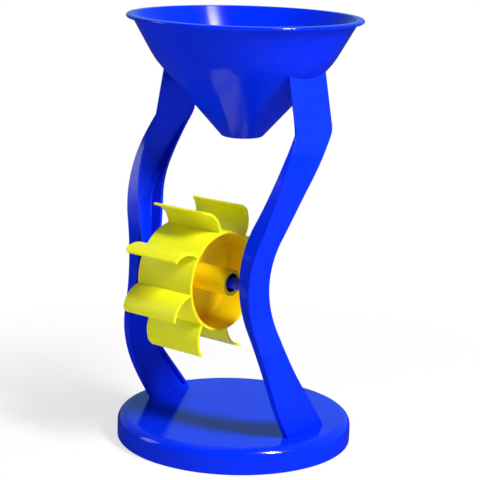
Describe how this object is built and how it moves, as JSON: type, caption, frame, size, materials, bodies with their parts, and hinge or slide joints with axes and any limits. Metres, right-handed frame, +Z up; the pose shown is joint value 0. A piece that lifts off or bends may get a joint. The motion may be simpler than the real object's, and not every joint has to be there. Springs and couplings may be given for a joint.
{
  "type": "sand wheel toy",
  "caption": "Free-standing sand mill: a funnel on two bowed legs pours sand on a bladed wheel that spins on an axle over a round base.",
  "frame": {"origin": "middle of the base's underside, on the ground", "axes": "+Z up; the axle lies along X; the legs bow towards -Y, so the wheel is on the -Y side"},
  "size_m": [0.1664, 0.1766, 0.3],
  "materials": {
    "blue_plastic": "glossy moulded",
    "yellow_plastic": "satin moulded"
  },
  "bodies": {
    "stand": {"base": "blue_plastic", "left_leg": "blue_plastic", "right_leg": "blue_plastic", "hopper": "blue_plastic", "axle": "blue_plastic"},
    "wheel": {"wheel": "yellow_plastic"}
  },
  "joints": [
    {"name": "wheel_spin", "type": "hinge", "parent": "stand", "child": "wheel", "pos_m": [0, -0.0436, 0.1258], "axis": [1, 0, 0], "continuous": true}
  ]
}
